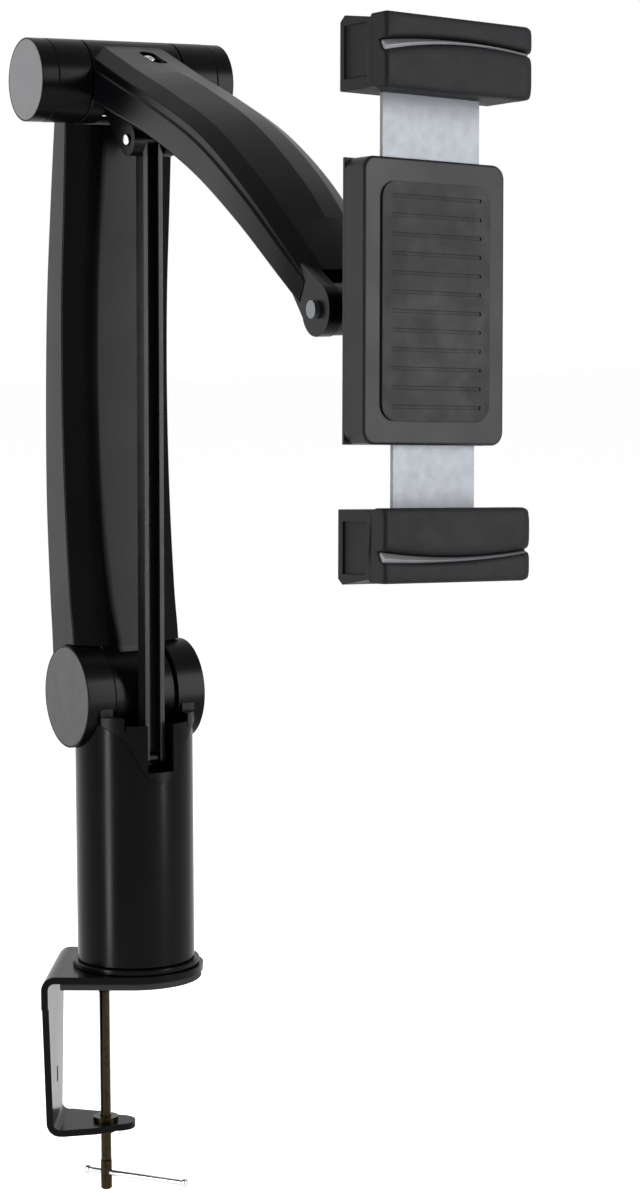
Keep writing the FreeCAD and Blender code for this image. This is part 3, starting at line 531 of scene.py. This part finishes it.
# lower arm: bowed hollow beam with a bevelled front, a knuckle below and two eyes above
lowerArmSettings = {
    "knuckle": (10, 146, 24, 16.9),  # y, z, radius, half width
    "eye": (6, 456, 20.7, 25.5, 44),  # y, z, radius, inner and outer face
    "span": 310,
    "half": 30,
    "frontHalf": 16,
    "frontDrop": 5,
    "wall": 3,
    "backOpen": 4,
    "softness": 4.5,  # rounding of the line between the front and its bevels
    "edge": 0.9,
    "eyeEdge": 0.6,
    "neckEdge": 1.0,
    "knuckleEdge": 0.7,
    "bore": 6.05,
    "neckBore": 7.05,
    "rootRoom": 26.7,  # radius that the beam leaves free round the knuckle
    "hubGap": 0.6,  # between the upper arm's hub and the pocket for it
    "cutHalf": 40,  # half length of tools that cut right through
    "neck": [(-3, 8), (28, 8), (30, 32), (4, 32)],  # y, height over the hinge
    "wedgeLean": 48,
    "wedge": [(-2, 14), (60, 14), (60, -30), (-2, -30)],  # along and across the lean, from the eye
    "beam": (0.0516, 0.9484, 44),  # first share, last share, rings
    "hollow": (0.129, 0.8581, 30),
    "bow": [
        # share of the span, front, back
        (0.0516, 6.2, 32.6), (0.0968, 7.4, 33.4), (0.1613, 10.8, 35.3), (0.3194, 15.3, 38.1),
        (0.4871, 17.2, 37.5), (0.6516, 16.2, 34.6), (0.8129, 12.2, 28.6), (0.9484, 9.0, 22.6),
    ],
}


def makeLowerArm(s):
    half, flat, drop, wall = s["half"], s["frontHalf"], s["frontDrop"], s["wall"]
    lowY, lowZ, knuckleR, knuckleHalf = s["knuckle"]
    eyeY, eyeZ, eyeR, eyeIn, eyeOut = s["eye"]
    cutHalf = s["cutHalf"]

    def outer(share):
        front, back = curveAt(s["bow"], share)
        z = lowZ + s["span"] * share
        return [mm(x, y, z) for x, y in (
            (-half, back), (-half, front), (-flat, front - drop),
            (flat, front - drop), (half, front), (half, back))]

    def inner(share):
        front, back = curveAt(s["bow"], share)
        z = lowZ + s["span"] * share
        back += s["backOpen"]
        return [mm(x, y, z) for x, y in (
            (wall - half, back), (wall - half, front + wall), (-flat, front - drop + wall),
            (flat, front - drop + wall), (half - wall, front + wall), (half - wall, back))]

    def leaned(far, off):
        lean = math.radians(s["wedgeLean"])
        return (eyeY - far * math.cos(lean) + off * math.sin(lean),
                eyeZ - far * math.sin(lean) - off * math.cos(lean))

    def onBevelLine(a, b):
        return abs(abs(a.x) - flat / 1000) < sameLine and abs(a.x - b.x) < sameLine

    arm = loftRings("lowerArm", [outer(share) for share in steps(*s["beam"])])
    openMesh(arm)
    pickEdges(arm, onBevelLine)
    bpy.ops.mesh.bevel(offset=s["softness"] / 1000, segments=6, affect="EDGES")
    closeMesh()
    roundEdges(arm, s["edge"])
    combine(arm, loftRings("hollow", [inner(share) for share in steps(*s["hollow"])]))
    combine(arm, rodX("rootCut", lowY, lowZ, s["rootRoom"], -cutHalf, cutHalf))
    combine(arm, barX("wedge", [leaned(*spot) for spot in s["wedge"]], -eyeIn, eyeIn))
    combine(arm, rodX("hubCut", eyeY, eyeZ, eyeR + s["hubGap"], -eyeIn, eyeIn))

    knuckle = rodX("knuckle", lowY, lowZ, knuckleR, -knuckleHalf, knuckleHalf)
    neck = barX("neck", [(y, lowZ + rise) for y, rise in s["neck"]], -knuckleHalf, knuckleHalf)
    roundEdges(neck, s["neckEdge"], angle=40)
    combine(knuckle, rodX("bore", lowY, lowZ, s["bore"], -cutHalf, cutHalf, corners=48))
    combine(neck, rodX("bore", lowY, lowZ, s["neckBore"], -cutHalf, cutHalf, corners=48))
    eyes = []
    for left, right in ((-eyeOut, -eyeIn), (eyeIn, eyeOut)):
        eye = rodX("eye", eyeY, eyeZ, eyeR, left, right)
        roundEdges(eye, s["eyeEdge"], angle=40)
        eyes.append(eye)
    roundEdges(knuckle, s["knuckleEdge"], angle=50)
    joinShells(arm, [knuckle, neck] + eyes)
    finishPiece(arm, "lower_arm_shell")


makeLowerArm(lowerArmSettings)
say("lower arm")

# upper arm: arched hollow beam from a hub between the eyes to a two-cheek fork, drawn level
# along -Y from the elbow and then dropped to its angle
upperArmSettings = {
    "origin": (0, 6, 456),
    "drop": 26.4,
    "span": 253.5,
    "hub": (20.7, 25),  # radius, half width
    "hubEdge": 0.8,
    "bore": 6.05,
    "boreHalf": 60,
    "yokeRoom": (17.0, 16.4),  # radius, half width
    "yokeSlot": [(-40, -30), (9, -30), (9, 0), (0, 9.4), (-40, 9.4)],
    "cheek": (12.3, 19, 12),  # inner face, outer face, radius of the tip
    "cheekOutline": [(26, -1), (20, 12.6), (0, 12), (0, -12)],  # from the fork's axis
    "cheekEdge": 0.6,
    "foot": 1.8,  # bevel along the lower edge
    "ledge": (3.0, 0.8, 1.0),  # height, slope and depth of the step in the side
    "shoulder": (9, 4),  # flat that leads from the side to the top: in, down
    "wall": 3,
    "roof": 3.2,
    "innerShoulder": (10.2, 6),
    "bottomOpen": 4,
    "crown": 2.5,
    "crownRise": 0.3,  # share of the span over which the crown swells
    "crownFall": (0.96, 0.2),  # share where it ends, and over which it fades
    "leastCrown": 0.02,  # never quite flat, so that the ridge's corners stay apart
    "ridgeX": 3.0,
    "softness": 0.9,
    "slot": (3.0, 11, 33, 4.0, 18.2),  # x, near and far end, radius, floor
    "slotTall": 12,  # of the tool, which stands out above the arm
    "beam": (0.0079, 0.9448, 40),  # first share, last share, rings
    "hollow": (0.0848, 0.905, 26),
    "spine": [
        # share of the span, half width, rise of the middle, height
        (0.0079, 25, 7.7, 25.2), (0.1775, 25, 12.6, 23.9), (0.3156, 25, 17.3, 23.0),
        (0.5128, 25, 20.9, 23.2), (0.7101, 25, 17.6, 21.4), (0.8757, 22.5, 9.2, 19.0),
        (0.9448, 19.5, 3.6, 17.4),
    ],
}
upperArmPlace = (Matrix.Translation(mm(*upperArmSettings["origin"]))
                 @ Matrix.Rotation(math.radians(upperArmSettings["drop"]), 4, "X"))


def crownAt(s, share):
    # how far the ridge of the top stands above its two shoulders
    end, fade = s["crownFall"]
    swell = min(1, share / s["crownRise"])
    crown = s["crown"] * swell * swell * (3 - 2 * swell) * min(1, (end - share) / fade)
    return max(crown, s["leastCrown"])


def cutArmSlot(arm, s):
    # a round tool whose far half is drawn out to the slot's length
    x, near, far, radius, floor = s["slot"]
    slot = rodZ("slot", x, -near - radius, radius, floor, floor + s["slotTall"], corners=40)
    openMesh(slot)
    pickCorners(slot, lambda spot: spot.y < -(near + radius) / 1000 - sameLine)
    bpy.ops.transform.translate(value=mm(0, -(far - near - 2 * radius), 0))
    closeMesh()
    combine(arm, slot)


def makeUpperArm(s):
    hubR, hubHalf = s["hub"]
    roomR, roomHalf = s["yokeRoom"]
    span, wall, foot = s["span"], s["wall"], s["foot"]

    def outer(share):
        w, rise, tall = curveAt(s["spine"], share)
        top, low = rise + tall / 2, rise - tall / 2
        height, slope, step = s["ledge"]
        ledge = rise + height
        inward, down = s["shoulder"]
        half = [(w - foot, low), (w, low + foot), (w, ledge), (w - step, ledge + slope),
                (w - step, top - down), (w - inward, top)]
        ridge = (s["ridgeX"], top + crownAt(s, share))
        row = [(-x, z) for x, z in half] + [ridge] + half[::-1]
        return [mm(x, -span * share, z) for x, z in row]

    def inner(share):
        w, rise, tall = curveAt(s["spine"], share)
        top, low = rise + tall / 2, rise - tall / 2 - s["bottomOpen"]
        inward, down = s["innerShoulder"]
        half = [(w - wall, low), (w - wall, top - down), (w - inward, top - s["roof"])]
        return [mm(x, -span * share, z) for x, z in [(-x, z) for x, z in half] + half[::-1]]

    arm = loftRings("upperArm", [outer(share) for share in steps(*s["beam"])])
    roundEdges(arm, s["softness"], angle=14)
    hub = rodX("hub", 0, 0, hubR, -hubHalf, hubHalf, corners=96)
    roundEdges(hub, s["hubEdge"], angle=40)
    combine(arm, hub, "UNION")
    combine(arm, loftRings("hollow", [inner(share) for share in steps(*s["hollow"])]))
    cutArmSlot(arm, s)
    combine(arm, rodX("yokeRoom", 0, 0, roomR, -roomHalf, roomHalf))
    combine(arm, barX("yokeSlot", s["yokeSlot"], -roomHalf, roomHalf))
    combine(arm, rodX("bore", 0, 0, s["bore"], -s["boreHalf"], s["boreHalf"], corners=48))

    near, far, cheekR = s["cheek"]
    cheeks = []
    for left, right in ((-far, -near), (near, far)):
        cheek = barX("cheek", [(y - span, z) for y, z in s["cheekOutline"]], left, right)
        combine(cheek, rodX("tip", -span, 0, cheekR, left, right, corners=48), "UNION")
        roundEdges(cheek, s["cheekEdge"], segments=2, angle=40)
        cheeks.append(cheek)
    joinShells(arm, cheeks)
    putInPlace(arm, upperArmPlace)
    finishPiece(arm, "upper_arm_shell")


# socket head that sits in the arm's slot and sets the friction of the elbow
tensionScrewSettings = {
    "place": (3.6, -17, 18.3),
    "radius": 3.2,
    "tall": 2.3,
    "socketRadius": 1.7,
    "socketDeep": 1.2,
    "socketPast": 1.8,  # how far the tool stands out of the socket
    "edge": 0.35,
}


def makeTensionScrew(s):
    x, y, z = s["place"]
    top = z + s["tall"]
    floor, past = top - s["socketDeep"], top + s["socketPast"]
    head = rodZ("tensionScrew", x, y, s["radius"], z, top, corners=48)
    combine(head, rodZ("socket", x, y, s["socketRadius"], floor, past, corners=6))
    roundEdges(head, s["edge"], angle=40)
    putInPlace(head, upperArmPlace)
    finishExtra(head, "upper_arm", brightBar)


makeUpperArm(upperArmSettings)
makeTensionScrew(tensionScrewSettings)
say("upper arm")

# pin through the yoke's lug with a domed head each side
linkPinSettings = {
    "y": -24,
    "z": 426,
    "radius": 2.45,
    "lugHalf": 12,
    "headRadius": 2.9,
    "headTall": 1.3,
    "dome": 0.85,  # share of the head's height that is rounded
    "smooth": 60,
}


def makeLinkPin(s):
    y, z, lug, tall = s["y"], s["z"], s["lugHalf"], s["headTall"]
    pin = rodX("linkPinUpper", y, z, s["radius"], -lug, lug, corners=40)
    finishPiece(pin, "link_pin_upper", s["smooth"])
    # the pin's shank is coloured near black as painted shade between the link's flanges
    dress(pin, pinPaintedShade)
    heads = []
    for left, right in ((-lug - tall, -lug), (lug, lug + tall)):
        head = rodX("linkPinHeads", y, z, s["headRadius"], left, right, corners=40)
        roundEdges(head, tall * s["dome"], segments=5, angle=40)
        heads.append(head)
    joinShells(heads[0], heads[1:])
    finishExtra(heads[0], bodyOf["link_pin_upper"], brightBar, s["smooth"])


makeLinkPin(linkPinSettings)
say("link pin")

holderBack = 46.3  # from the origin that the holder's pieces are drawn round to the roll joint


def holderPlace():
    # drawn facing -Y with Z along the jaws' travel, then set at the roll axis
    roll = joints["holder_roll"]
    out = Vector(roll["axis"]).normalized()
    up = Vector(joints["upper_jaw_slide"]["axis"]).normalized()
    side = up.cross(out)
    if side.x < 0:
        side, out = -side, -out
    turned = Matrix((side, -out, up)).transposed().to_4x4()
    return Matrix.Translation(Vector(roll["pos_m"]) - out * holderBack / 1000) @ turned


# jaws: two soft bands parted by an arched groove, in front of a block with framed recesses;
# heights run outward from the middle of the holder, so that both jaws share them
jawSettings = {
    "half": 40,
    "low": 87,
    "top": 117.4,
    "front": -78.8,  # y of the bands' face
    "behind": -68,  # y of the bands' back
    "rear": -46.8,  # y of the block's back
    "gripFace": -71.2,  # y of the lip that holds on
    "lip": 86.2,
    "leftRound": 1.8,
    "rightRound": 4.2,
    "endSquash": 0.8,  # how much of an end's rounding the top and bottom share
    "endShares": (0.0, 0.15, 0.5, 1.1),  # rings through the rounding of an end
    "flatEnds": (4, 6),  # left and right stretch that the even rings leave free
    "flatRings": 17,
    "bandRound": 2.2,
    "bandPower": 5,  # how square a band's pillow is
    "bandShares": (0.0, 0.03, 0.1, 0.22, 0.4, 0.6, 0.78, 0.9, 0.97, 1.0),
    "archR": 300,
    "archDown": {"upper_jaw": 8.7, "lower_jaw": 11.0},
    "grooveWide": (4.6, 1.3),  # left end, right end
    "grooveDeep": (2.4, 1.2),
    "grooveTaper": 1.5,  # how soon the groove narrows, from the left
    "grooveFloor": 0.3,  # its deepest line below the arch
    "grooveTop": 0.2,  # its upper lip above the arch
    "blockLap": (2, 1.9),  # how far the block reaches into the bands, and its drop there
    "blockCrest": (3, 1.1),  # its highest line: in from the rear, above the top
    "blockHeel": 1.4,  # drop of its rear edge
    "recess": (-65.5, -50, 92, 114, 1.2),  # y from and to, height from and to, depth
    "recessPast": 5,  # how far the tool stands out beside the block
    "edge": 0.6,
    "smooth": 38,
    # a light grey strip in each groove, painted highlight along the groove's lower lip
    "highlightProud": 0.7,
    "highlightEnds": (0.7, 3.5),  # left and right stretch without the painted highlight strip
    "highlightRings": 24,
    "highlightTaper": 2.4,
    "highlightEdge": 0.2,
    "highlightCorners": [
        # from the groove's floor or face, deeper, share of its width below the arch, lower
        ("floor", 0, 0, 0.45), ("face", 0, 0.7, 0), ("face", 0.9, 1, 0.3), ("floor", 1.6, 0.5, 1.0),
    ],
}


def grooveAt(s, x, middle, up, taper):
    # height of the arched groove at x, with its width and depth
    away = (s["half"] - x) / (2 * s["half"])
    leftWide, rightWide = s["grooveWide"]
    leftDeep, rightDeep = s["grooveDeep"]
    arch = middle - up * (s["archR"] - math.sqrt(s["archR"] ** 2 - x ** 2))
    return (arch, rightWide + (leftWide - rightWide) * away ** taper,
            rightDeep + (leftDeep - rightDeep) * away)


def pillow(s, z0, z1, y0):
    # outline of a soft band from z0 up to z1
    points = []
    for t in s["bandShares"]:
        fall = 1 - (1 - abs(2 * t - 1) ** s["bandPower"]) ** 0.5
        points.append((y0 + s["bandRound"] * fall, z0 + (z1 - z0) * t))
    return points


def makeJawFront(s, name, up, middle):
    half, low, grip, behind = s["half"], up * s["low"], s["gripFace"], s["behind"]
    zLow, zHigh = sorted((up * s["lip"], up * s["top"]))

    def ring(x):
        radius = s["leftRound"] if x < 0 else s["rightRound"]
        depth = max(0.0, radius - (half - abs(x)))
        pull = radius - math.sqrt(max(radius ** 2 - depth ** 2, 0))
        arch, wide, deep = grooveAt(s, x, middle, up, s["grooveTaper"])
        z0, z1 = zLow + pull * s["endSquash"], zHigh - pull * s["endSquash"]
        y0 = s["front"] + pull
        points = pillow(s, z0, arch - wide, y0)
        points.append((y0 + s["bandRound"] + deep, arch - s["grooveFloor"]))
        points += pillow(s, arch + s["grooveTop"], z1, y0)
        above, below = (behind, grip) if up > 0 else (grip, behind)
        points += [(above, z1), (above, low), (below, low), (below, z0)]
        return [mm(x, y, z) for y, z in points]

    ends = s["endShares"]
    reach = ends[-1]
    leftFlat, rightFlat = s["flatEnds"]
    xs = [e * s["leftRound"] / reach - half for e in ends]
    xs += steps(leftFlat - half, half - rightFlat, s["flatRings"])
    xs += [half - e * s["rightRound"] / reach for e in ends[::-1]]
    return loftRings(name, [ring(x) for x in xs])


def makeJawBlock(s, up):
    half, low, top, rear = s["half"], up * s["low"], up * s["top"], s["rear"]
    lapIn, lapDrop = s["blockLap"]
    crestIn, crestRise = s["blockCrest"]
    front = s["behind"] - lapIn
    block = barX("rearBlock", [
        (front, low), (front, top - up * lapDrop), (rear - crestIn, top + up * crestRise),
        (rear, top - up * s["blockHeel"]), (rear, low)], -half, half)
    y0, y1, z0, z1, deep = s["recess"]
    z0, z1 = sorted((up * z0, up * z1))
    past = half + s["recessPast"]
    for left, right in ((-past, deep - half), (half - deep, past)):
        combine(block, barX("recess", [(y0, z0), (y1, z0), (y1, z1), (y0, z1)], left, right))
    roundEdges(block, s["edge"])
    return block


# a thin light strip in the groove: painted highlight along its lower lip
def makeJawHighlightStrip(s, name, up, middle):
    def ring(x):
        arch, wide, deep = grooveAt(s, x, middle, up, s["highlightTaper"])
        lines = {"floor": s["front"] + s["bandRound"] + deep - s["highlightProud"],
                 "face": s["front"] + s["highlightProud"]}
        return [mm(x, lines[line] + deeper, arch - wide * share - lower)
                for line, deeper, share, lower in s["highlightCorners"]]

    left, right = s["highlightEnds"]
    xs = steps(left - s["half"], s["half"] - right, s["highlightRings"])
    highlightStrip = loftRings(name, [ring(x) for x in xs])
    roundEdges(highlightStrip, s["highlightEdge"], segments=2)
    return highlightStrip


def makeJaw(s, node, name, up):
    middle = up * (s["top"] - s["archDown"][node])
    jaw = makeJawFront(s, name, up, middle)
    joinShells(jaw, [makeJawBlock(s, up)])
    putInPlace(jaw, holderPlace())
    finishPiece(jaw, node, s["smooth"])
    # the strip of painted highlight rides with the jaw
    highlightStrip = makeJawHighlightStrip(s, name + "PaintedHighlight", up, middle)
    putInPlace(highlightStrip, holderPlace())
    finishExtra(highlightStrip, bodyOf[node], paintedHighlightGrey)


makeJaw(jawSettings, "upper_jaw", "upperJaw", 1)
makeJaw(jawSettings, "lower_jaw", "lowerJaw", -1)
say("jaws")

# soft ribbed pad on the face of the holder's housing
facePadSettings = {
    "half": 29,
    "tall": 50,
    "back": -61.2,
    "front": -62.4,
    "corner": 7,
    "ribPitch": 8,
    "ribWide": 1.4,
    "ribDeep": 0.6,
    "ribEnd": 5,  # from the grooves between the ribs to the side of the pad
    "ribRoom": 6,  # kept free of them above and below
    "ribTool": 3,  # length of the tool from the groove's floor outward
    "edge": 0.22,
}


def makeFacePad(s):
    half, front, back = s["half"], s["front"], s["back"]
    clearSelection()
    bpy.ops.mesh.primitive_cube_add(size=1, location=mm(0, (back + front) / 2, 0),
                                    scale=mm(2 * half, back - front, 2 * s["tall"]))
    pad = bpy.context.object
    pad.name = "facePad"
    applyPlace()
    openMesh(pad)
    pickEdges(pad, lambda a, b: abs(a.y - b.y) > sameLine)
    bpy.ops.mesh.bevel(offset=s["corner"] / 1000, segments=8, affect="EDGES")
    closeMesh()
    count = int(2 * (s["tall"] - s["ribRoom"]) / s["ribPitch"])
    rib, floor = s["ribWide"] / 2, front + s["ribDeep"]
    out = floor - s["ribTool"]
    for i in range(count + 1):
        z = (i - count / 2) * s["ribPitch"]
        outline = [(floor, z - rib), (floor, z + rib), (out, z + rib), (out, z - rib)]
        combine(pad, barX("rib", outline, s["ribEnd"] - half, half - s["ribEnd"]))
    roundEdges(pad, s["edge"], segments=2, angle=40)
    putInPlace(pad, holderPlace())
    finishExtra(pad, "holder", padRubber)


makeFacePad(facePadSettings)
say("face pad")


def mergedCopy(node, name):
    obj = bpy.data.objects.new(name, nodes[node].data.copy())
    sceneCollection.objects.link(obj)
    openMesh(obj)
    bpy.ops.mesh.remove_doubles(threshold=mergeGap)
    closeMesh()
    return obj


def keepSlice(obj, z, above):
    # cuts the mesh level at z and keeps one side
    openMesh(obj)
    bpy.ops.mesh.bisect(plane_co=mm(0, 0, z), plane_no=(0, 0, 1), use_fill=True,
                        clear_inner=above, clear_outer=not above)
    closeMesh()


# clamp screw: real thread between the ball end and the cross-drilled foot
screwSettings = {
    "axisX": -16.7,
    "turn": -32.0,
    "crest": 2.9,
    "root": 2.3,
    "pitch": 1.0,
    "threadLow": -98.0,
    "threadHigh": -8.0,
    "footLap": 0.6,  # how far the plain ends reach into the thread
    "neckLap": 0.4,
    "stepsATurn": 18,
    "smooth": 40,
}


def makeScrew(s):
    low, high, root, pitch = s["threadLow"], s["threadHigh"], s["root"], s["pitch"]
    clearSelection()
    bpy.ops.mesh.primitive_circle_add(vertices=3, radius=0.001, fill_type="NOTHING")
    thread = bpy.context.object
    thread.name = "clampScrew"
    bpy.ops.object.mode_set(mode="EDIT")
    mesh = bmesh.from_edit_mesh(thread.data)
    shiftCorners(mesh, list(mesh.verts), [
        mm(root, 0, low), mm(s["crest"], 0, low + pitch / 2), mm(root, 0, low + pitch)])
    pickEdges(thread, lambda a, b: max(a.x, b.x) < root / 1000 + mergeGap)
    bpy.ops.mesh.delete(type="EDGE")
    closeMesh()
    wind = thread.modifiers.new("wind", "SCREW")
    wind.screw_offset = pitch / 1000
    wind.iterations = int((high - low) / pitch)
    wind.steps = s["stepsATurn"]
    wind.render_steps = s["stepsATurn"]
    wind.use_merge_vertices = True
    wind.merge_threshold = mergeGap
    makeActive(thread)
    bpy.ops.object.modifier_apply(modifier=wind.name)
    openMesh(thread)
    bpy.ops.mesh.remove_doubles(threshold=mergeGap)
    bpy.ops.mesh.normals_make_consistent(inside=False)
    closeMesh()
    turn = Matrix.Rotation(math.radians(s["turn"]), 4, "Z")
    putInPlace(thread, turn @ Matrix.Translation(mm(s["axisX"], 0, 0)))
    foot = mergedCopy("clamp_screw", "foot")
    keepSlice(foot, low + s["footLap"], False)
    neck = mergedCopy("clamp_screw", "neck")
    keepSlice(neck, high - s["neckLap"], True)
    joinShells(thread, [foot, neck])
    finishPiece(thread, "clamp_screw", s["smooth"])


makeScrew(screwSettings)
say("screw")

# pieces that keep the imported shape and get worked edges
workedSettings = {
    "segments": 3,
    "angle": 28,
    "flat": 0.6,  # degrees within which faces are merged first
    "edges": {
        # node: name, edge radius
        "lower_arm_cover": ("lowerArmCover", 0.6),
        "column_head": ("columnHead", 1.2),
        "column_tube": ("columnTube", 0.4),
        "tie_link": ("tieLink", 0.8),
        "elbow_yoke": ("elbowYoke", 1.5),
        "clamp_bracket": ("clampBracket", 0.8),
        "base_pad": ("basePad", 0.5),
        "foot_flange": ("footFlange", 0.6),
        "holder_housing": ("holderHousing", 0.6),
        "holder_cover": ("holderCover", 0.5),
        "tilt_block": ("tiltBlock", 0.8),
        "swivel_post": ("swivelPost", 0.8),
        "elbow_knob_left": ("elbowKnobLeft", 0.5),
        "elbow_knob_right": ("elbowKnobRight", 0.5),
        "tommy_bar": ("tommyBar", 0.4),
    },
}


def workEdges(s):
    for node, (name, edge) in s["edges"].items():
        obj = mergedCopy(node, name)
        openMesh(obj)
        bpy.ops.mesh.dissolve_limited(angle_limit=math.radians(s["flat"]))
        closeMesh()
        roundEdges(obj, edge, s["segments"], s["angle"])
        finishPiece(obj, node)


workEdges(workedSettings)
say("worked pieces")
